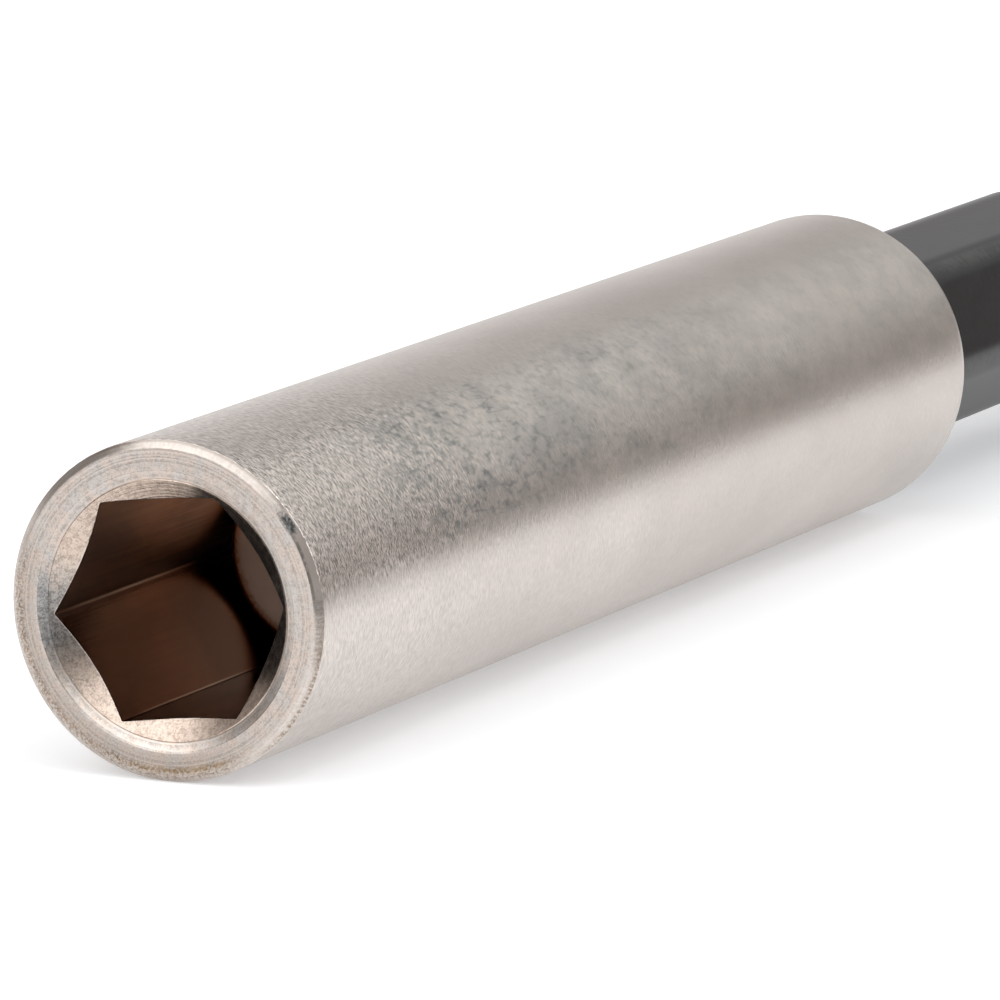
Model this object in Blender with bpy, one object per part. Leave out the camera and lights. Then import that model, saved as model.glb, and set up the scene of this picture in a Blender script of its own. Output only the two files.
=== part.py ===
"""Magnetic bit holder: a turned sleeve with a hexagonal socket, a disc magnet and a hexagonal drive shank.

Metres, +Z up. The holder lies on its side, its axis along X, its mouth towards -X.
Each piece is modelled along its own X axis and placed along the axis of the holder.
"""
import math

import bmesh
import bpy

# Socket: the hexagonal hole that takes the bit
SOCKET_ACROSS_FLATS = 0.0064
SOCKET_DEPTH = 0.0115
SOCKET_TURN = math.radians(54.1)
COUNTERSINK_RIM = 0.00044
COUNTERSINK_ANGLE = math.radians(110.0)

# Sleeve: the turned bar that the socket is formed in
SOCKET_WALL = 0.001305
SLEEVE_LENGTH = 0.05
MOUTH_CHAMFER_WIDTH = 0.00024
MOUTH_CHAMFER_DEPTH = 0.0002
REAR_EDGE_RADIUS = 0.0009

# Magnet: the disc at the bottom of the socket
MAGNET_SIDE_GAP = 0.0002
MAGNET_LENGTH = 0.005
MAGNET_STAND = 0.0012
MAGNET_EDGE_RADIUS = 0.0002
GLUE_FILM = 0.00005

# Shank: the hexagonal bar that the chuck grips
SHANK_ACROSS_FLATS = 0.00635
SHANK_CORNER_RADIUS = 0.0012
SHANK_LENGTH = 0.029
SHANK_TURN = math.radians(9.6)
SHANK_END_CHAMFER = 0.0009
SHOULDER_CHAMFER = 0.0003
GROOVE_FROM_END = 0.0095
GROOVE_NECK_DIAMETER = 0.005
GROOVE_RADIUS = 0.0024

# Spigot: the round front end of the shank, pressed into the rear of the sleeve
SPIGOT_DIAMETER = 0.006
SPIGOT_LENGTH = 0.018
SPIGOT_LEAD = 0.0005
PRESS_CLEARANCE = 0.00003
SHOULDER_CLEARANCE = 0.00005

# Facets: the number of sides on round faces, and of steps on a small rounded edge
ROUND_SIDES = 64
EDGE_STEPS = 6
CUT_MARGIN = 0.0005

# Sizes that follow from the ones above
SOCKET_CORNER_RADIUS = SOCKET_ACROSS_FLATS / math.sqrt(3.0)
SLEEVE_RADIUS = SOCKET_CORNER_RADIUS + SOCKET_WALL
COUNTERSINK_RADIUS = SOCKET_CORNER_RADIUS + COUNTERSINK_RIM
MAGNET_RADIUS = SOCKET_ACROSS_FLATS / 2 - MAGNET_SIDE_GAP
SEAT_RADIUS = MAGNET_RADIUS + GLUE_FILM
MAGNET_FACE = SOCKET_DEPTH - MAGNET_STAND
SEAT_FLOOR = MAGNET_FACE + MAGNET_LENGTH + GLUE_FILM
SPIGOT_RADIUS = SPIGOT_DIAMETER / 2
BORE_RADIUS = SPIGOT_RADIUS + PRESS_CLEARANCE
SHANK_START = SLEEVE_LENGTH + SHOULDER_CLEARANCE
OVERALL_LENGTH = SHANK_START + SHANK_LENGTH


def finish_mesh(name, bm):
    """Turn a closed bmesh into a mesh with its faces outward, smooth except at its real edges."""
    bmesh.ops.recalc_face_normals(bm, faces=bm.faces)
    mesh = bpy.data.meshes.new(name)
    bm.to_mesh(mesh)
    bm.free()
    mesh.shade_smooth()
    mesh.set_sharp_from_angle(angle=math.radians(25.0))
    return mesh


def loft(name, rings):
    """Join rings of points into one closed body; a ring of a single point is a pole."""
    bm = bmesh.new()
    loops = [[bm.verts.new(point) for point in ring] for ring in rings]
    for near, far in zip(loops, loops[1:]):
        sides = max(len(near), len(far))
        for i in range(sides):
            j = (i + 1) % sides
            corners = (near[i % len(near)], near[j % len(near)], far[j % len(far)], far[i % len(far)])
            bm.faces.new(list(dict.fromkeys(corners)))
    for end in (loops[0], loops[-1]):
        if len(end) > 1:
            bm.faces.new(end)
    return finish_mesh(name, bm)


def turned(name, profile):
    """Turn a profile of (x, radius) points, which starts and ends on the axis, about X."""
    rings = []
    for x, radius in profile:
        if radius == 0.0:
            rings.append([(x, 0.0, 0.0)])
            continue
        # Half a step of offset leaves a flat facet at the bottom for the holder to lie on
        angles = [(i + 0.5) * math.tau / ROUND_SIDES for i in range(ROUND_SIDES)]
        rings.append([(x, radius * math.cos(a), radius * math.sin(a)) for a in angles])
    return loft(name, rings)


def edge_arc(x, radius, bend, start, end, steps=EDGE_STEPS):
    """Profile points round a bend centred at (x, radius), between two angles from the X direction."""
    angles = [start + (end - start) * i / steps for i in range(steps + 1)]
    return [(x + bend * math.cos(a), radius + bend * math.sin(a)) for a in angles]


def hexagonal(name, across_flats, corner_radius, turn, x_start, x_end):
    """A hexagonal bar along X, with one corner at the angle turn from +Y towards +Z."""
    corner_centre = (across_flats / 2 - corner_radius) / math.cos(math.pi / 6)
    outline = []
    for k in range(6):
        middle = turn + k * math.tau / 6
        centre = (corner_centre * math.cos(middle), corner_centre * math.sin(middle))
        steps = EDGE_STEPS if corner_radius > 0.0 else 0
        for i in range(steps + 1):
            swing = (i / steps - 0.5) * math.tau / 6 if steps else 0.0
            y = centre[0] + corner_radius * math.cos(middle + swing)
            z = centre[1] + corner_radius * math.sin(middle + swing)
            outline.append((y, z))
    return loft(name, [[(x, y, z) for y, z in outline] for x in (x_start, x_end)])


def sleeve_profile():
    """Magnet seat, countersunk mouth, outside and rear bore, from axis to axis."""
    countersink_depth = (COUNTERSINK_RADIUS - SEAT_RADIUS) / math.tan(COUNTERSINK_ANGLE / 2)
    bore_floor = SLEEVE_LENGTH - SPIGOT_LENGTH + SHOULDER_CLEARANCE - PRESS_CLEARANCE
    profile = [
        (SEAT_FLOOR, 0.0),
        (SEAT_FLOOR, SEAT_RADIUS),
        (countersink_depth, SEAT_RADIUS),
        (0.0, COUNTERSINK_RADIUS),
        (0.0, SLEEVE_RADIUS - MOUTH_CHAMFER_WIDTH),
        (MOUTH_CHAMFER_DEPTH, SLEEVE_RADIUS),
    ]
    edge_x = SLEEVE_LENGTH - REAR_EDGE_RADIUS
    edge_radius = SLEEVE_RADIUS - REAR_EDGE_RADIUS
    profile += edge_arc(edge_x, edge_radius, REAR_EDGE_RADIUS, math.pi / 2, 0.0)
    profile += [(SLEEVE_LENGTH, BORE_RADIUS), (bore_floor, BORE_RADIUS), (bore_floor, 0.0)]
    return profile


def magnet_profile():
    """A disc with both edges rounded, its face at x = 0."""
    bend = MAGNET_EDGE_RADIUS
    profile = [(0.0, 0.0)]
    profile += edge_arc(bend, MAGNET_RADIUS - bend, bend, math.pi, math.pi / 2)
    profile += edge_arc(MAGNET_LENGTH - bend, MAGNET_RADIUS - bend, bend, math.pi / 2, 0.0)
    return profile + [(MAGNET_LENGTH, 0.0)]


def shank_turning_profile():
    """What a lathe leaves of the hexagonal bar: shoulder chamfer, ball groove and end chamfer."""
    corner_radius = (SHANK_ACROSS_FLATS / 2 - SHANK_CORNER_RADIUS) / math.cos(math.pi / 6) + SHANK_CORNER_RADIUS
    outer = corner_radius + CUT_MARGIN
    groove_x = SHANK_LENGTH - GROOVE_FROM_END
    groove_centre = GROOVE_NECK_DIAMETER / 2 + GROOVE_RADIUS
    # The groove is a round-bottomed cut: its sides run straight out where its centre lies inside the bar
    rise = max(groove_centre - outer, 0.0)
    half_sweep = math.acos(rise / GROOVE_RADIUS)
    profile = [
        (0.0, 0.0),
        (0.0, corner_radius - SHOULDER_CHAMFER),
        (SHOULDER_CHAMFER + CUT_MARGIN, outer),
        (groove_x - GROOVE_RADIUS * math.sin(half_sweep), outer),
    ]
    low = -math.pi / 2
    profile += edge_arc(groove_x, groove_centre, GROOVE_RADIUS, low - half_sweep, low + half_sweep, 2 * EDGE_STEPS)
    profile += [
        (groove_x + GROOVE_RADIUS * math.sin(half_sweep), outer),
        (SHANK_LENGTH - SHANK_END_CHAMFER - CUT_MARGIN, outer),
        (SHANK_LENGTH, corner_radius - SHANK_END_CHAMFER),
        (SHANK_LENGTH, 0.0),
    ]
    return [point for i, point in enumerate(profile) if i == 0 or math.dist(point, profile[i - 1]) > 1e-7]


def spigot_profile():
    """The round press-fit end, which runs a little way into the bar behind it."""
    root = SHOULDER_CHAMFER + 2 * CUT_MARGIN
    return [
        (-SPIGOT_LENGTH, 0.0),
        (-SPIGOT_LENGTH, SPIGOT_RADIUS - SPIGOT_LEAD),
        (SPIGOT_LEAD - SPIGOT_LENGTH, SPIGOT_RADIUS),
        (root, SPIGOT_RADIUS),
        (root, 0.0),
    ]


def metal(name, colour, roughness):
    """A plain metal finish."""
    material = bpy.data.materials.new(name)
    material.use_nodes = True
    shader = material.node_tree.nodes["Principled BSDF"]
    shader.inputs["Base Color"].default_value = (*colour, 1.0)
    shader.inputs["Metallic"].default_value = 1.0
    shader.inputs["Roughness"].default_value = roughness
    return material


def place(name, mesh, x, finish=None):
    """Put a piece on the holder's axis, x behind the mouth."""
    piece = bpy.data.objects.new(name, mesh)
    bpy.context.scene.collection.objects.link(piece)
    piece.parent = holder_axis
    piece.location.x = x
    if finish:
        mesh.materials.append(finish)
    return piece


def cut(piece, name, mesh, operation):
    """Cut, trim or join a piece with a hidden tool that shares the piece's own frame."""
    tool = place(name, mesh, piece.location.x)
    tool.hide_render = True
    tool.display_type = "WIRE"
    boolean = piece.modifiers.new(name, "BOOLEAN")
    boolean.operation = operation
    boolean.solver = "EXACT"
    boolean.object = tool


for old in list(bpy.data.objects):
    bpy.data.objects.remove(old)

# The holder's axis runs through the middle of its mouth, one sleeve radius above the table
holder_axis = bpy.data.objects.new("holder_axis", None)
bpy.context.scene.collection.objects.link(holder_axis)
holder_axis.location = (-OVERALL_LENGTH / 2, 0.0, SLEEVE_RADIUS)

# Sleeve: turned to shape, then the hexagon is broached into its front end
stainless = metal("brushed_stainless", (0.62, 0.58, 0.54), 0.34)
sleeve = place("sleeve", turned("sleeve", sleeve_profile()), 0.0, stainless)
broach = hexagonal("socket_broach", SOCKET_ACROSS_FLATS, 0.0, SOCKET_TURN, -CUT_MARGIN, SOCKET_DEPTH)
cut(sleeve, "socket_broach", broach, "DIFFERENCE")

# Magnet: bonded into its seat from the front
nickel = metal("dull_nickel", (0.40, 0.34, 0.29), 0.32)
place("magnet", turned("magnet", magnet_profile()), MAGNET_FACE, nickel)

# Shank: hexagonal bar, turned at its ends and groove, with its spigot in the sleeve's rear bore
black_oxide = metal("black_oxide", (0.06, 0.058, 0.06), 0.42)
bar = hexagonal(
    "hex_shank", SHANK_ACROSS_FLATS, SHANK_CORNER_RADIUS, SHANK_TURN, -CUT_MARGIN, SHANK_LENGTH + CUT_MARGIN
)
hex_shank = place("hex_shank", bar, SHANK_START, black_oxide)
cut(hex_shank, "shank_turning", turned("shank_turning", shank_turning_profile()), "INTERSECT")
cut(hex_shank, "shank_spigot", turned("shank_spigot", spigot_profile()), "UNION")
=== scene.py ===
"""A magnetic bit holder on a white table: a brushed sleeve, a disc magnet and a black hexagonal shank."""
import math

import bpy
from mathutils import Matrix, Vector


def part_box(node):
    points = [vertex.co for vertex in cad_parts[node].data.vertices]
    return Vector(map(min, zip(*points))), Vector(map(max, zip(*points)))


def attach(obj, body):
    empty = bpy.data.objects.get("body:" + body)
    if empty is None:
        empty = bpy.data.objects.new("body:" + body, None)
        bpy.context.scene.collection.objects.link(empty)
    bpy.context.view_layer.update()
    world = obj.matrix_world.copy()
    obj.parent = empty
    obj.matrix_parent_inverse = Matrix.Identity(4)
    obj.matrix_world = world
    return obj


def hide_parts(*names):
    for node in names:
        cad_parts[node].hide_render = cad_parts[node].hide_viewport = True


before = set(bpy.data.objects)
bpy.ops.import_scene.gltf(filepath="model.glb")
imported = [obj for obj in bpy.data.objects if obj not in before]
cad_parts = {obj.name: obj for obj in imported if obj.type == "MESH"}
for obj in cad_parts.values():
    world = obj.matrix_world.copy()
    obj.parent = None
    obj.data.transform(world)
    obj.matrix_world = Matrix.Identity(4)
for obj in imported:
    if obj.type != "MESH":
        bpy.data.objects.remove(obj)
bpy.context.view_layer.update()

# Sleeve
# A stainless bar, turned to shape on a lathe and brushed round its axis. Its mouth is countersunk, and the
# hexagonal socket is broached through the countersink. The other two pieces are bonded or pressed into it.


class Wire:
    """One socket of a node tree: sums of wires add their Math nodes, and add() makes any other node."""

    def __init__(self, tree, socket=None):
        self.tree = tree
        self.socket = socket

    def add(self, kind, settings=None, sockets=None, output=0):
        """A new node: its settings first, then the values or wires of its sockets."""
        node = self.tree.nodes.new(kind)
        for name, value in (settings or {}).items():
            setattr(node, name, value)
        for name, value in (sockets or {}).items():
            if isinstance(value, Wire):
                self.tree.links.new(value.socket, node.inputs[name])
            else:
                node.inputs[name].default_value = value
        return Wire(self.tree, node.outputs[output] if node.outputs else None)

    def out(self, name):
        """Another output of the node that this wire comes from."""
        return Wire(self.tree, self.socket.node.outputs[name])

    def math(self, operation, *others):
        """A Math node on this wire and the others."""
        return self.add("ShaderNodeMath", {"operation": operation}, dict(enumerate((self, *others))))

    def swapped(self, operation, first):
        """A Math node on a number and this wire, in that order."""
        return self.add("ShaderNodeMath", {"operation": operation}, {0: first, 1: self})

    def fade(self, low, high):
        """0 below low, 1 above high, and smooth between them."""
        return self.add(
            "ShaderNodeMapRange",
            {"interpolation_type": "SMOOTHSTEP"},
            {"Value": self, "From Min": low, "From Max": high},
        )

    def band(self, low, full, last, high):
        """0 below low, 1 from full to last, 0 above high, and smooth between them."""
        return self.fade(low, full) * (1.0 - self.fade(last, high))

    def tint(self, none, full):
        """The colour that goes from none to full as this wire goes from 0 to 1."""
        return self.add("ShaderNodeMix", {"data_type": "RGBA"}, {0: self, 6: none, 7: full}, 2)

    def __add__(self, other):
        return self.math("ADD", other)

    def __radd__(self, other):
        return self.swapped("ADD", other)

    def __sub__(self, other):
        return self.math("SUBTRACT", other)

    def __rsub__(self, other):
        return self.swapped("SUBTRACT", other)

    def __mul__(self, other):
        return self.math("MULTIPLY", other)

    def __rmul__(self, other):
        return self.swapped("MULTIPLY", other)

    def __truediv__(self, other):
        return self.math("DIVIDE", other)

    def __rtruediv__(self, other):
        return self.swapped("DIVIDE", other)

    def __gt__(self, other):
        return self.math("GREATER_THAN", other)

    def __lt__(self, other):
        return self.math("LESS_THAN", other)


flats = 6
weld_distance = 1e-7


def lathe_tree():
    """A tree that turns an outline about X and works a hexagon into it, from inside or from outside."""
    tree = bpy.data.node_groups.new("lathe", "GeometryNodeTree")
    names = {}
    for name, kind in (
        ("Outline", "Geometry"),
        ("Sides", "Int"),
        ("Start", "Vector"),
        ("Across Flats", "Float"),
        ("Corner Radius", "Float"),
        ("Corner Crowding", "Float"),
        ("Edge Ease", "Float"),
        ("Turn", "Float"),
        ("Broached", "Float"),
        ("Outer Finish", "Material"),
        ("Mouth Finish", "Material"),
        ("Socket Finish", "Material"),
    ):
        names[name] = tree.interface.new_socket(name, socket_type="NodeSocket" + kind).identifier
    tree.interface.new_socket("Piece", in_out="OUTPUT", socket_type="NodeSocketGeometry")
    outline = Wire(tree).add("NodeGroupInput", output="Outline")
    given = outline.out

    # A sheet with one row of points for each point of the outline, and one column for each side
    columns = given("Sides") + 1
    rows = outline.add("GeometryNodeAttributeDomainSize", {}, {"Geometry": outline}, "Point Count")
    sheet = outline.add("GeometryNodeMeshGrid", {}, {"Vertices X": rows, "Vertices Y": columns})
    index = outline.add("GeometryNodeInputIndex")
    row = ((index + 0.5) / columns).math("FLOOR")
    even = (index - row * columns) / given("Sides")
    crowd = (even * (flats * math.tau)).math("SINE") * given("Corner Crowding")
    turn = even - crowd / (flats * math.tau)

    def of_outline(kind, value):
        return outline.add(
            "GeometryNodeSampleIndex",
            {"data_type": kind},
            {"Geometry": outline, "Value": value, "Index": row},
        )

    def named(name):
        return outline.add("GeometryNodeInputNamedAttribute", {"data_type": "FLOAT"}, {"Name": name})

    point = of_outline("FLOAT_VECTOR", outline.add("GeometryNodeInputPosition"))
    along = outline.add("ShaderNodeSeparateXYZ", {}, {"Vector": point})
    turned = along.out("Z")
    hexed = of_outline("FLOAT", named("hexed"))
    finish = of_outline("FLOAT", named("finish"))

    # Each direction meets the middle of a flat, or the rounded corner between two flats
    sixth = math.tau / flats
    swing = ((turn * flats).math("FRACT") - 0.5).math("ABSOLUTE") * sixth
    flat = given("Across Flats") / 2.0
    inner = flat - given("Corner Radius")
    corner_starts = (inner * math.tan(sixth / 2)).math("ARCTAN2", flat)
    from_corner = sixth / 2 - swing
    centre = inner / math.cos(sixth / 2)
    across = centre * from_corner.math("SINE")
    reach = (given("Corner Radius") * given("Corner Radius") - across * across).math("MAXIMUM", 0.0)
    corner = centre * from_corner.math("COSINE") + reach.math("SQRT")
    straight = flat / swing.math("COSINE")
    hexagon = straight + (swing > corner_starts) * (corner - straight)

    # A broach widens what was turned, and a mill trims it
    broached = turned.math("SMOOTH_MAX", hexagon, given("Edge Ease"))
    milled = turned.math("SMOOTH_MIN", hexagon, given("Edge Ease"))
    worked = milled + given("Broached") * (broached - milled)
    radius = turned + hexed * (worked - turned)
    cut = hexed * given("Broached") * (hexagon > turned)
    finish = finish.math("MAXIMUM", cut * 2.0)
    from_edge = hexed * (hexagon - turned) - (1.0 - hexed)

    # The sheet is bent round the axis, its seam and poles are closed, and each part gets its finish
    angle = turn * math.tau + given("Turn")
    place = outline.add(
        "ShaderNodeCombineXYZ",
        {},
        {"X": along, "Y": radius * angle.math("COSINE"), "Z": radius * angle.math("SINE")},
    )
    place = outline.add("ShaderNodeVectorMath", {"operation": "ADD"}, {0: place, 1: given("Start")})
    piece = outline.add("GeometryNodeSetPosition", {}, {"Geometry": sheet, "Position": place})
    for name, value in (("finish", finish), ("from_edge", from_edge)):
        piece = outline.add(
            "GeometryNodeStoreNamedAttribute",
            {"data_type": "FLOAT"},
            {"Geometry": piece, "Name": name, "Value": value},
        )
    piece = outline.add("GeometryNodeMergeByDistance", {}, {"Geometry": piece, "Distance": weld_distance})
    piece = outline.add("GeometryNodeRealizeInstances", {}, {"Geometry": piece})
    piece = outline.add("GeometryNodeSetMaterial", {}, {"Geometry": piece, "Material": given("Outer Finish")})
    for name, least in (("Mouth Finish", 0.4), ("Socket Finish", 1.4)):
        piece = outline.add(
            "GeometryNodeSetMaterial",
            {},
            {"Geometry": piece, "Selection": named("finish") > least, "Material": given(name)},
        )
    outline.add("NodeGroupOutput", {}, {"Piece": piece})
    return tree, names


lathe, lathe_inputs = lathe_tree()
fewest_bends = 4
bend_step = 0.0001
crease_angle = math.radians(28.0)


def rounded_outline(corners):
    """Points (x, radius, hexed, finish) of a turned outline.

    A corner is (x, radius, rounding, steps, hexed, finish): it becomes an arc, and the straight that follows
    it, up to the next corner, is divided into that many steps. Hexed is 1 where the hexagon is worked in, and
    finish is 0 for the outer finish, 1 for the mouth's and 2 for the socket's.
    """
    points = []
    for i, (x, radius, rounding, _, hexed, finish) in enumerate(corners):
        here = Vector((x, radius))
        arc = [here]
        if rounding:
            back = (Vector(corners[i - 1][:2]) - here).normalized()
            ahead = (Vector(corners[i + 1][:2]) - here).normalized()
            half = back.angle(ahead) / 2
            centre = here + (back + ahead).normalized() * rounding / math.sin(half)
            first = here + back * rounding / math.tan(half) - centre
            last = here + ahead * rounding / math.tan(half) - centre
            bends = fewest_bends + round(rounding / bend_step)
            arc = [centre + first.slerp(last, k / bends) * rounding for k in range(bends + 1)]
        if points:
            start = Vector(points[-1][:2])
            was_steps, was_hexed, was_finish = corners[i - 1][3:]
            for k in range(1, was_steps):
                share = k / was_steps
                between = start.lerp(arc[0], share)
                points.append((*between, was_hexed + (hexed - was_hexed) * share, was_finish))
        points += [(*spot, hexed, finish) for spot in arc]
    return points


def turn_on_lathe(name, corners, sizes):
    """Run the lathe tree on an outline and keep the result as a plain mesh."""
    points = rounded_outline(corners)
    mesh = bpy.data.meshes.new(name)
    spots = [(x, 0.0, radius) for x, radius, _, _ in points]
    mesh.from_pydata(spots, [(i, i + 1) for i in range(len(spots) - 1)], [])
    for column, attribute in ((2, "hexed"), (3, "finish")):
        values = mesh.attributes.new(attribute, "FLOAT", "POINT")
        values.data.foreach_set("value", [point[column] for point in points])
    piece = bpy.data.objects.new(name, mesh)
    bpy.context.scene.collection.objects.link(piece)
    turning = piece.modifiers.new("lathe", "NODES")
    turning.node_group = lathe
    for size, value in sizes.items():
        turning[lathe_inputs[size]] = value
    piece.data = bpy.data.meshes.new_from_object(piece.evaluated_get(bpy.context.evaluated_depsgraph_get()))
    piece.data.name = name
    piece.data.materials.pop(index=0)
    piece.modifiers.clear()
    piece.data.shade_smooth()
    piece.data.set_sharp_from_angle(angle=crease_angle)
    return piece


sleeve_low, sleeve_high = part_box("sleeve")
sleeve_length = sleeve_high.x - sleeve_low.x
axis_height = (sleeve_low.z + sleeve_high.z) / 2
mouth_centre = Vector((sleeve_low.x, 0.0, axis_height))
sleeve_radius = 0.005
rear_edge_radius = 0.0009
rear_bore_radius = 0.00303
rear_bore_edge_radius = 0.00008
rear_bore_floor = sleeve_length - 0.01798
chamfer_width = 0.00024
chamfer_depth = 0.0002
chamfer_edge_radius = 0.00005
brushed_share = 0.3
face_edge_radius = 0.00004
socket_across_flats = 0.0064
socket_corner_radius = 0.0001
socket_edge_ease = 0.00003
socket_depth = 0.0115
socket_turn = math.radians(54.1)
countersink_radius = 0.004135
countersink_step_radius = 0.00384
countersink_step_depth = 0.00011
tool_mark_width = 0.00003
tool_mark_depth = 0.000024
countersink_end_radius = 0.0031
countersink_end_depth = 0.000695
seat_radius = 0.00305
seat_floor = 0.01535

MM = 1000.0


def start_finish(name):
    """A new material, and millimetres from the middle of the mouth as the wire its patterns grow from."""
    material = bpy.data.materials.new(name)
    material.use_nodes = True
    material.node_tree.nodes.clear()
    place = Wire(material.node_tree).add("ShaderNodeTexCoord", output="Object")
    return material, place.add(
        "ShaderNodeMapping", {}, {"Vector": place, "Location": mouth_centre * -MM, "Scale": (MM, MM, MM)}
    )


def speckle(spot, grain, detail=2.0, sharp=0.5):
    """Noise with its own number of lumps per millimetre along X, Y and Z."""
    scaled = spot.add("ShaderNodeVectorMath", {"operation": "MULTIPLY"}, {0: spot, 1: grain})
    return spot.add(
        "ShaderNodeTexNoise", {}, {"Vector": scaled, "Scale": 1.0, "Detail": detail, "Roughness": sharp}
    )


def stripes(measure, number):
    """Noise along one measure, with that number of stripes to each unit of it."""
    return measure.add(
        "ShaderNodeTexNoise", {"noise_dimensions": "1D"}, {"W": measure, "Scale": number, "Detail": 3.0}
    )


def end_finish(spot, relief, relief_depth, sockets):
    """Close a material with a bump in millimetres and one shader."""
    bump = spot.add("ShaderNodeBump", {}, {"Height": relief, "Distance": relief_depth / MM, "Strength": 1.0})
    shader = spot.add("ShaderNodeBsdfPrincipled", {}, {"Normal": bump, **sockets})
    spot.add("ShaderNodeOutputMaterial", {}, {"Surface": shader})


def off_axis(spot):
    """How far the spot is along the axis and from it, in millimetres."""
    along = spot.add("ShaderNodeSeparateXYZ", {}, {"Vector": spot})
    across = spot.add("ShaderNodeCombineXYZ", {}, {"Y": along.out("Y"), "Z": along.out("Z")})
    return along, spot.add("ShaderNodeVectorMath", {"operation": "LENGTH"}, {0: across}, "Value")


def toward(spot, degrees):
    """How far the spot lies to one side of the axis: looking into the mouth, 0 is right and 90 is up."""
    side = (0.0, -math.cos(math.radians(degrees)), math.sin(math.radians(degrees)))
    return spot.add("ShaderNodeVectorMath", {"operation": "DOT_PRODUCT"}, {0: spot, 1: side}, "Value")


def hexagon_edge(spot, width):
    """1 on the edge that the hexagon cuts into the turned shape, 0 further away than the width."""
    from_edge = spot.add("ShaderNodeAttribute", {"attribute_name": "from_edge"}, output="Fac")
    return 1.0 - (from_edge * MM).math("ABSOLUTE").fade(width * 0.3, width)


# The outside: brushed round the axis, with an open grain in front and a dulled, mottled film on a band along
# the upper right side
bright_steel = (0.92, 0.838, 0.777, 1.0)
rosy_steel = (0.805, 0.722, 0.663, 1.0)
dark_steel = (0.27, 0.242, 0.222, 1.0)
grimy_steel = (0.232, 0.235, 0.227, 1.0)
brushed, spot = start_finish("brushed_stainless")
along, _ = off_axis(spot)
marks = speckle(spot, (15.0, 4.6, 4.6), 2.0, 0.6)
pocks = speckle(spot, (30.0, 6.0, 6.0), 3.0, 0.72)
dots = speckle(spot, (2.4, 4.0, 4.0), 2.0, 0.55)
clouds = speckle(spot, (0.4, 0.6, 0.6), 3.0, 0.6)
hue = speckle(spot, (0.15, 0.3, 0.3), 2.0)
front = 1.0 - along.fade(6.0, 16.0)
upper = toward(spot, 90).fade(-0.5, 2.5)
# A band along the upper right side, where the dulled film lies
film_band = toward(spot, 39).fade(4.2, 4.75)
open_grain = film_band * (1.0 - along.fade(6.0, 13.0))
dulled = film_band * along.fade(4.0, 10.0) * (1.0 - 0.75 * along.fade(20.0, 40.0))
crack_shape = speckle(spot, (0.09, 0.7, 0.7), 3.0, 0.55)
cracks = 1.0 - (crack_shape - 0.5).math("ABSOLUTE").fade(0.0, 0.01)
cracks = cracks * clouds.fade(0.46, 0.56) * dulled * (1.0 - along.fade(14.0, 22.0))
spots = dots.fade(0.43, 0.76) * (0.3 + 0.42 * (1.0 - along.fade(11.0, 20.0)))
cloudy = clouds.fade(0.4, 0.65)
smears = speckle(spot, (0.9, 1.3, 1.3), 2.0).fade(0.38, 0.74)
film = dulled * (0.065 + 0.3 * cloudy + spots) + cracks * 0.5
film = film + cloudy * 0.06 + dots.fade(0.5, 0.74) * 0.03
film = (film + film_band * along.fade(16.0, 28.0) * smears * 0.15).math("MINIMUM", 1.0)
brushing = (marks - 0.5) * (0.6 + 0.35 * front + 1.15 * upper * front)
brushing = brushing * (1.0 - 0.5 * along.fade(16.0, 34.0))
grain = 0.555 + 0.1 * open_grain + brushing + (pocks - 0.5) * (15.0 * open_grain + 0.8 * dulled)
worn = (hue.fade(0.35, 0.65) * 0.6 + along.fade(15.0, 40.0) * 0.5).math("MINIMUM", 1.0)
colour = grain.tint(dark_steel, worn.tint(bright_steel, rosy_steel))
end_finish(
    spot,
    marks + pocks * 0.3 - cracks * 0.3,
    0.012,
    {
        "Base Color": film.tint(colour, grimy_steel),
        "Metallic": 1.0,
        "Roughness": 0.29 + film * 0.06,
    },
)

# The mouth: turned, with fine rings and pits, and built up from the face to the countersink and the bevel
turned_steel = (0.63, 0.53, 0.463, 1.0)
cool_steel = (0.58, 0.533, 0.497, 1.0)
pitted_steel = (0.38, 0.335, 0.302, 1.0)
turned_face, spot = start_finish("turned_stainless")
along, from_axis = off_axis(spot)
across = spot.add("ShaderNodeVectorMath", {"operation": "MULTIPLY"}, {0: spot, 1: (0.0, 1.0, 1.0)})
outward = spot.add("ShaderNodeVectorMath", {"operation": "NORMALIZE"}, {0: across})
rings = stripes(from_axis, 11.0)
drags = stripes(along.out("Z").math("ARCTAN2", along.out("Y")), 45.0)
blotches = speckle(spot, (1.6, 1.6, 1.6), 4.0, 0.65)
lumps = speckle(spot, (5.0, 5.0, 5.0), 3.0, 0.6)
specks = speckle(spot, (12.0, 12.0, 12.0), 3.0, 0.7)
pits = speckle(spot, (17.0, 17.0, 17.0), 3.0, 0.7)
colour = blotches.fade(0.4, 0.6).tint(turned_steel, cool_steel)
colour = (pits * 0.42 + lumps * 0.28 + rings * 0.3).fade(0.38, 0.56).tint(pitted_steel, colour)

# Countersink: peach steel, black grime on the right, and a painted dark reflection on the left, grey and
# pitted
peach_steel = (0.7, 0.58, 0.495, 1.0)
pitted_peach_steel = (0.45, 0.355, 0.29, 1.0)
black_grime = (0.02, 0.018, 0.016, 1.0)
brown_grime = (0.1, 0.08, 0.066, 1.0)
painted_dark_reflection = (0.13, 0.135, 0.135, 1.0)
painted_pale_reflection = (0.38, 0.375, 0.37, 1.0)
cone = 1.0 - from_axis.fade(3.8, 3.86)
peach = (pits * 0.5 + lumps * 0.4 + drags * 0.1).fade(0.4, 0.56).tint(pitted_peach_steel, peach_steel)
colour = cone.tint(colour, peach)
ragged = (blotches - 0.5) * 0.12
grime = (toward(outward, 45) + ragged).fade(0.79, 0.92)
thin_grime = (toward(outward, -5) + ragged).fade(0.84, 0.97)
grime = grime.math("MAXIMUM", thin_grime) * (0.15 + 0.8 * cone) * (1.0 - from_axis.fade(4.08, 4.14))
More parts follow.
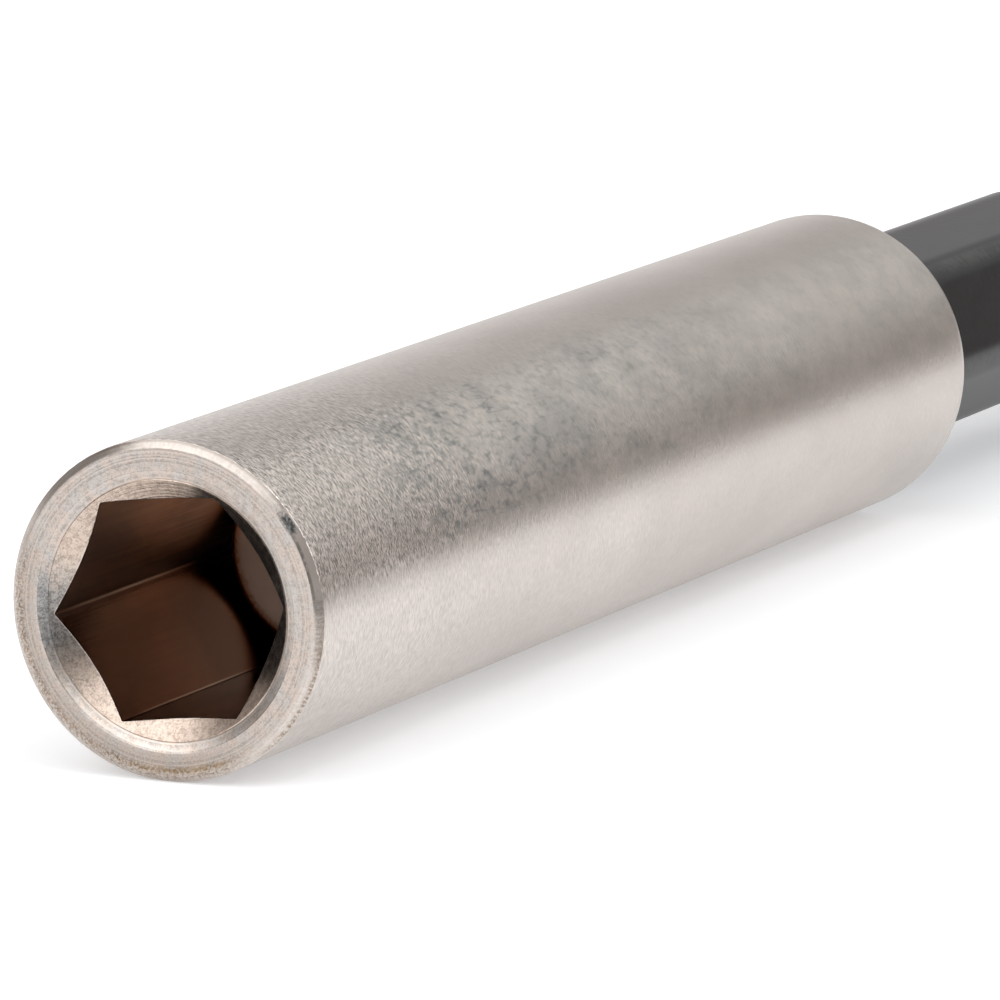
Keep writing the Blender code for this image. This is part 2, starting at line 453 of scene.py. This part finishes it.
colour = grime.tint(colour, (pits * 0.5 + lumps * 0.5).fade(0.42, 0.6).tint(black_grime, brown_grime))
# Painted dark reflection on the left of the countersink, grey and pitted: the stain mask here carries it
stain = (toward(outward, 185) + ragged).fade(0.86, 0.98) * 0.55
painted_reflection_core = (toward(outward, 187) + (blotches - 0.5) * 0.08).fade(0.96, 0.995) * 0.27
stain = (stain + painted_reflection_core) * (1.0 - from_axis.fade(4.1, 4.16))
colour = stain.tint(colour, (pits * 0.6 + lumps * 0.4).fade(0.4, 0.6).tint(painted_dark_reflection, painted_pale_reflection))

# Bevel: painted dark reflections at the upper left and the right and a darker top edge, rubbed bright at the
# upper right, with a dark line along its foot below that
bevel_steel = (0.64, 0.588, 0.548, 1.0)
dull_bevel = (0.55, 0.49, 0.443, 1.0)
worn_bevel = (0.86, 0.76, 0.69, 1.0)
painted_dark_bevel = (0.26, 0.218, 0.188, 1.0)
dark_line = (0.1, 0.098, 0.09, 1.0)
bevel = from_axis.fade(4.765, 4.8)
plain_bevel = (drags * 0.2 + lumps * 0.4 + pits * 0.4).fade(0.38, 0.6).tint(dull_bevel, bevel_steel)
colour = bevel.tint(colour, plain_bevel)
upper_left = (toward(outward, 125) + (lumps - 0.5) * 0.1).fade(0.89, 0.99)
right_side = (toward(outward, -3) + (lumps - 0.5) * 0.02).fade(0.962, 0.998)
upper_right = (toward(outward, 25) + (lumps - 0.5) * 0.02).fade(0.95, 0.985)
top_edge = toward(outward, 70).fade(0.6, 0.8) * from_axis.fade(4.88, 4.96)
scored = (drags * 0.5 + pits * 0.5).fade(0.4, 0.6)
# Painted dark reflections at the upper left and the right of the bevel, and a darker top edge
painted_dark_patches = upper_left * 0.72 + right_side * (0.8 - 0.45 * scored) + top_edge * 0.55
colour = (bevel * painted_dark_patches.math("MINIMUM", 1.0)).tint(colour, painted_dark_bevel)
colour = (bevel * upper_right * 0.9).tint(colour, worn_bevel)
groove = (toward(outward, 20) + (lumps - 0.5) * 0.03).fade(0.955, 0.98)
groove = groove * from_axis.band(4.72, 4.76, 4.8, 4.85) * lumps.fade(0.35, 0.55)
colour = (groove * 0.6).tint(colour, dark_line)

# Rust on the lower half, a chip in the bevel, and a painted highlight along the edges, partly edge wear
rusty_steel = (0.2, 0.126, 0.068, 1.0)
golden_rust = (0.31, 0.202, 0.088, 1.0)
chipped_steel = (0.12, 0.125, 0.12, 1.0)
pale_chip = (0.45, 0.46, 0.45, 1.0)
chip_place = (0.1, -3.95, 2.87)
lower_left = toward(spot, 230).fade(0.6, 2.6)
bottom = toward(spot, 275).fade(4.1, 4.6)
lower_right = (toward(outward, -27) + (lumps - 0.5) * 0.08).fade(0.86, 0.97)
crusty = specks * 0.5 + lumps * 0.5
rim = (from_axis + blotches * 0.6).fade(4.76, 5.06) * (1.0 - 0.66 * from_axis.fade(4.82, 4.92)) * lower_left
smudge = lower_left * from_axis.fade(4.14, 4.3) * (1.0 - 0.7 * bevel) * (0.06 + 0.2 * crusty.fade(0.4, 0.6))
lip = lower_right * from_axis.fade(4.84, 4.94) * (specks * 0.6 + drags * 0.4).fade(0.42, 0.56)
rust = rim * (0.08 + 0.6 * specks.fade(0.45, 0.56)) + smudge + lip * 0.75
colour = rust.tint(colour, rusty_steel)
streak = bottom * from_axis.band(4.48, 4.6, 4.68, 4.8) * crusty.fade(0.4, 0.58)
colour = (streak * 0.6).tint(colour, golden_rust)
from_chip = spot.add("ShaderNodeVectorMath", {"operation": "DISTANCE"}, {0: spot, 1: chip_place}, "Value")
chip = 1.0 - (from_chip + (lumps - 0.5) * 0.7).fade(0.16, 0.42)
chip = chip * from_axis.band(4.68, 4.75, 4.93, 4.97)
colour = chip.tint(colour, (specks * 0.6 + pits * 0.4).fade(0.45, 0.62).tint(chipped_steel, pale_chip))
# Painted highlight along the hexagon's edge and the bevel's foot, partly edge wear
worn = hexagon_edge(spot, 0.03) * 0.7 + from_axis.band(4.69, 4.74, 4.78, 4.83) * 0.2
end_finish(
    spot,
    rings + blotches * 0.5 + pits * (0.5 + 0.5 * rim + 0.3 * cone) - chip * 0.5,
    0.01,
    {
        "Base Color": worn.tint(colour, bright_steel),
        "Metallic": 1.0,
        "Roughness": 0.28 + rust * 0.2,
    },
)

# The socket: broached, brown and streaked along the cut, with painted shade deeper in, on the lower left wall
# and at the floor, and a painted highlight along its corners and edges
brown_steel = (0.55, 0.33, 0.208, 1.0)
dark_brown_steel = (0.36, 0.22, 0.145, 1.0)
painted_shade_brown = (0.09, 0.047, 0.03, 1.0)
grey_brown_steel = (0.48, 0.385, 0.335, 1.0)
shaded_steel = (0.02, 0.013, 0.01, 1.0)
painted_corner_highlight = (0.4, 0.35, 0.315, 1.0)
broached_wall, spot = start_finish("broached_stainless")
along, from_axis = off_axis(spot)
streaks = speckle(spot, (0.12, 9.0, 9.0), 4.0, 0.65)
stain = speckle(spot, (0.3, 0.6, 0.6), 4.0)
left = toward(spot, 180).fade(1.0, 3.0)
lower_left = toward(spot, 234).fade(1.5, 3.0)
upper_left = toward(spot, 156).fade(2.9, 3.15)
colour = (stain * 0.5 + streaks * 0.5).fade(0.4, 0.6).tint(brown_steel, dark_brown_steel)
colour = (left * (1.0 - along.fade(1.0, 6.0)) * 0.8).tint(colour, grey_brown_steel)
# Painted shade: darker deeper in and on the lower left wall, and black at the floor round the magnet
colour = (along.fade(4.0, 10.5) * 0.3 + lower_left * 0.86).tint(colour, painted_shade_brown)
colour = along.fade(11.2, 11.45).tint(colour, shaded_steel)
# Painted highlight along the socket's corners and the hexagon's edge
corner = from_axis.fade(3.655, 3.68) * along.band(0.7, 2.5, 5.0, 9.0)
end_finish(
    spot,
    streaks,
    0.004,
    {
        "Base Color": (corner + hexagon_edge(spot, 0.03) * 0.6).tint(colour, painted_corner_highlight),
        "Metallic": 1.0,
        "Roughness": 0.12 + stain * 0.14 + upper_left * 0.16,
    },
)

sleeve = turn_on_lathe(
    "brushed_sleeve",
    [
        (rear_bore_floor, 0.0, 0.0, 2, 0, 0),
        (rear_bore_floor, rear_bore_radius, 0.0, 2, 0, 0),
        (sleeve_length, rear_bore_radius, rear_bore_edge_radius, 3, 0, 0),
        (sleeve_length, sleeve_radius, rear_edge_radius, 50, 0, 0),
        (chamfer_depth, sleeve_radius, chamfer_edge_radius, 1, 0, 0),
        (chamfer_depth * (1 - brushed_share), sleeve_radius - chamfer_width * brushed_share, 0.0, 3, 0, 1),
        (0.0, sleeve_radius - chamfer_width, face_edge_radius, 6, 0, 1),
        (0.0, countersink_radius, face_edge_radius, 8, 1, 1),
        (countersink_step_depth, countersink_step_radius + tool_mark_width, 0.0, 2, 1, 1),
        (countersink_step_depth + tool_mark_depth, countersink_step_radius, 0.0, 2, 1, 1),
        (countersink_step_depth, countersink_step_radius - tool_mark_width, 0.0, 60, 1, 1),
        (countersink_end_depth, countersink_end_radius, 0.0, 2, 1, 1),
        (countersink_end_depth, seat_radius, 0.0, 30, 1, 2),
        (socket_depth, seat_radius, 0.0, 5, 1, 2),
        (socket_depth, seat_radius, 0.0, 4, 0, 2),
        (seat_floor, seat_radius, 0.0, 2, 0, 2),
        (seat_floor, 0.0, 0.0, 0, 0, 2),
    ],
    {
        "Sides": 360,
        "Start": mouth_centre,
        "Across Flats": socket_across_flats,
        "Corner Radius": socket_corner_radius,
        "Corner Crowding": 0.8,
        "Edge Ease": socket_edge_ease,
        "Turn": socket_turn,
        "Broached": 1.0,
        "Outer Finish": brushed,
        "Mouth Finish": turned_face,
        "Socket Finish": broached_wall,
    },
)
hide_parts("sleeve")
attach(sleeve, "root")

# Magnet
# A round disc magnet, nickel plated and dulled by use. It is bonded into the seat behind the socket, and
# stands a little proud of the socket's floor, so that the bit touches it.

magnet_low, magnet_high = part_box("magnet")
magnet_radius = 0.003
magnet_edge_radius = 0.0002
magnet_face = magnet_low.x - mouth_centre.x
magnet_back = magnet_high.x - mouth_centre.x

dull_plating = (0.7, 0.59, 0.505, 1.0)
rusty_plating = (0.56, 0.27, 0.115, 1.0)
nickel, spot = start_finish("dull_nickel")
grain = speckle(spot, (8.0, 8.0, 8.0), 3.0, 0.6)
_, from_axis = off_axis(spot)
rust = (from_axis + (grain - 0.5) * 0.4).fade(2.6, 2.9)
end_finish(
    spot,
    grain,
    0.003,
    {
        "Base Color": rust.tint(dull_plating, rusty_plating),
        "Metallic": 1.0,
        "Roughness": 0.3,
    },
)

magnet = turn_on_lathe(
    "disc_magnet",
    [
        (magnet_back, 0.0, 0.0, 4, 0, 0),
        (magnet_back, magnet_radius, magnet_edge_radius, 8, 0, 0),
        (magnet_face, magnet_radius, magnet_edge_radius, 12, 0, 0),
        (magnet_face, 0.0, 0.0, 0, 0, 0),
    ],
    {
        "Sides": 120,
        "Start": mouth_centre,
        "Outer Finish": nickel,
        "Mouth Finish": nickel,
        "Socket Finish": nickel,
    },
)
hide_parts("magnet")
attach(magnet, "root")

# Shank
# A bar of hexagonal tool steel with a black oxide finish. Its ends and its ball groove are turned, and its
# round front end is pressed into the bore at the rear of the sleeve.

shank_low, shank_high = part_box("hex_shank")
shank_end = shank_high.x - mouth_centre.x
spigot_end = shank_low.x - mouth_centre.x
shank_gap = 0.00005
shank_start = sleeve_length + shank_gap
shank_across_flats = 0.00635
shank_corner_radius = 0.0012
shank_edge_ease = 0.0001
shank_turn = math.radians(9.6)
shank_corner = 0.00348
shank_blank = 0.00398
shoulder_chamfer = 0.0003
end_chamfer = 0.0009
end_edge_radius = 0.00012
spigot_radius = 0.003
spigot_lead = 0.0005
groove_middle = shank_end - 0.0095
groove_radius = 0.0024
groove_neck = 0.0025
groove_steps = 28
groove_margin = 0.0001

black_oxide = (0.006, 0.0058, 0.006, 1.0)
grey_oxide = (0.011, 0.0106, 0.011, 1.0)
rubbed_steel = (0.06, 0.057, 0.055, 1.0)
blackened, spot = start_finish("black_oxide")
_, from_axis = off_axis(spot)
grain = speckle(spot, (4.0, 4.0, 4.0), 4.0, 0.6)
clouds = speckle(spot, (0.4, 0.8, 0.8), 3.0)
rubbed = (hexagon_edge(spot, 0.06) + from_axis.fade(3.44, 3.5) * 0.5) * (grain + clouds).fade(0.85, 1.15)
oxide = (grain * 0.5 + clouds * 0.5).fade(0.35, 0.65).tint(black_oxide, grey_oxide)
end_finish(
    spot,
    grain,
    0.004,
    {
        "Base Color": rubbed.tint(oxide, rubbed_steel),
        "Metallic": 0.0,
        "Roughness": 0.28,
        "Specular IOR Level": 0.19,
    },
)

groove_swing = math.acos((groove_neck + groove_radius - shank_blank) / groove_radius)
groove_half = groove_radius * math.sin(groove_swing)


def groove_corner(i):
    """A point of the ball groove's round bottom."""
    swing = groove_swing * (1 - 2 * i / groove_steps)
    x = groove_middle + groove_radius * math.sin(swing)
    radius = groove_neck + groove_radius * (1 - math.cos(swing))
    return (x, radius, 0.0, 2, 1, 0)


shank = turn_on_lathe(
    "black_shank",
    [
        (shank_end, 0.0, 0.0, 6, 1, 0),
        (shank_end, shank_corner - end_chamfer, end_edge_radius, 24, 1, 0),
        (shank_end - end_chamfer - shank_blank + shank_corner, shank_blank, 0.0, 40, 1, 0),
        *(groove_corner(i) for i in range(groove_steps + 1)),
        (groove_middle - groove_half - groove_margin, shank_blank, 0.0, 40, 1, 0),
        (shank_start + shoulder_chamfer + shank_blank - shank_corner, shank_blank, 0.0, 14, 1, 0),
        (shank_start, shank_corner - shoulder_chamfer, 0.0, 3, 1, 0),
        (shank_start, spigot_radius, 0.0, 4, 0, 0),
        (spigot_end + spigot_lead, spigot_radius, 0.0, 2, 0, 0),
        (spigot_end, spigot_radius - spigot_lead, 0.0, 2, 0, 0),
        (spigot_end, 0.0, 0.0, 0, 0, 0),
    ],
    {
        "Sides": 288,
        "Start": mouth_centre,
        "Across Flats": shank_across_flats,
        "Corner Radius": shank_corner_radius,
        "Edge Ease": shank_edge_ease,
        "Turn": shank_turn,
        "Broached": 0.0,
        "Outer Finish": blackened,
        "Mouth Finish": blackened,
        "Socket Finish": blackened,
    },
)
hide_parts("hex_shank")
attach(shank, "root")

# Table, light and camera
# A white table top, soft lamps overhead, in front and on the right, a pale room that is lighter on the left
# and at the back, and a long lens that looks into the mouth from its right front.

table_reach = 1.5
table_right = -0.037
table_white = (0.843, 0.85, 0.86, 1.0)
table_glow = (0.965, 0.98, 1.0, 1.0)
table_glow_strength = 0.315
table_mesh = bpy.data.meshes.new("table")
table_mesh.from_pydata(
    [
        (-table_reach, table_right, 0.0),
        (table_reach, table_right, 0.0),
        (table_reach, table_reach, 0.0),
        (-table_reach, table_reach, 0.0),
    ],
    [],
    [(0, 1, 2, 3)],
)
table = bpy.data.objects.new("table", table_mesh)
bpy.context.scene.collection.objects.link(table)
white, spot = start_finish("white_table")
paint = spot.add("ShaderNodeBsdfDiffuse", {}, {"Color": table_white})
ray = spot.add("ShaderNodeLightPath", output="Is Camera Ray")
seen = ray + ray.out("Is Glossy Ray") + ray.out("Is Transmission Ray")
glow = spot.add("ShaderNodeEmission", {}, {"Color": table_glow, "Strength": seen * table_glow_strength})
shader = spot.add("ShaderNodeAddShader", {}, {0: paint, 1: glow})
spot.add("ShaderNodeOutputMaterial", {}, {"Surface": shader})
table_mesh.materials.append(white)


def softbox(name, place, target, width, length, brightness, colour=(1.0, 1.0, 1.0)):
    """A rectangle of even light whose face is that many times as bright as white paper."""
    lamp = bpy.data.lights.new(name, "AREA")
    lamp.shape = "RECTANGLE"
    lamp.color = colour
    lamp.size = width
    lamp.size_y = length
    lamp.energy = brightness * math.pi * width * length
    light = bpy.data.objects.new(name, lamp)
    light.location = place
    light.rotation_euler = (Vector(target) - Vector(place)).to_track_quat("-Z", "Y").to_euler()
    light.visible_camera = False
    bpy.context.scene.collection.objects.link(light)


softbox("overhead", (-0.37, 0.07, 0.6), (-0.37, 0.07, 0.0), width=0.65, length=1.0, brightness=1.55)
softbox("right", (0.2, -0.55, 0.5), (0.1, 0.0, 0.0), width=1.0, length=0.8, brightness=1.2)
softbox("front", (-0.95, 0.22, 0.5), (0.0, 0.0, 0.0), width=1.15, length=0.45, brightness=2.2)
pale_green = (0.95, 1.0, 0.97)
softbox(
    "rear_right",
    (0.72, -0.135, 0.39),
    (0.0, -0.135, 0.19),
    width=0.43,
    length=0.5,
    brightness=0.35,
    colour=pale_green,
)

room_light = (1.0, 0.975, 0.97, 1.0)
warm_light = (1.0, 0.91, 0.86, 1.0)
plain_white = (1.0, 1.0, 1.0, 1.0)
room = bpy.data.worlds.new("room")
bpy.context.scene.world = room
room.use_nodes = True
room.node_tree.nodes.clear()
view = Wire(room.node_tree).add("ShaderNodeTexCoord", output="Generated")
heading = view.add("ShaderNodeSeparateXYZ", {}, {"Vector": view})
rear = heading.fade(-0.4, 0.3)
left = heading.out("Y").fade(0.0, 0.5)
low = 1.0 - heading.out("Z").fade(0.05, 0.25)
right = 1.0 - heading.out("Y").fade(-0.75, -0.3)
middle = heading.out("Y").fade(-0.35, 0.1)
level = 0.11 + 0.16 * left + 0.16 * right * (1.0 - rear)
level = level + rear * (0.26 + 0.11 * middle + left * (0.1 + 0.36 * low))
camera_ray = view.add("ShaderNodeLightPath", output="Is Camera Ray")
level = level + camera_ray * (1.0 - level)
horizon = rear * low * (1.0 - heading.out("Y").fade(-0.4, 0.0))
warmth = camera_ray.tint(horizon.tint(room_light, warm_light), plain_white)
glow = view.add("ShaderNodeBackground", {}, {"Color": warmth, "Strength": level})
view.add("ShaderNodeOutputWorld", {}, {"Surface": glow})

camera_from_mouth = Vector((-0.235233, -0.118036, 0.049792))
line_of_sight = Vector((0.89567, 0.40918, -0.17421))
lens = bpy.data.cameras.new("camera")
lens.lens = 335.89
lens.sensor_width = 36.0
lens.clip_start = 0.01
camera = bpy.data.objects.new("camera", lens)
camera.location = mouth_centre + camera_from_mouth
camera.rotation_euler = line_of_sight.to_track_quat("-Z", "Y").to_euler()
bpy.context.scene.collection.objects.link(camera)
bpy.context.scene.camera = camera
bpy.context.scene.view_settings.view_transform = "Standard"
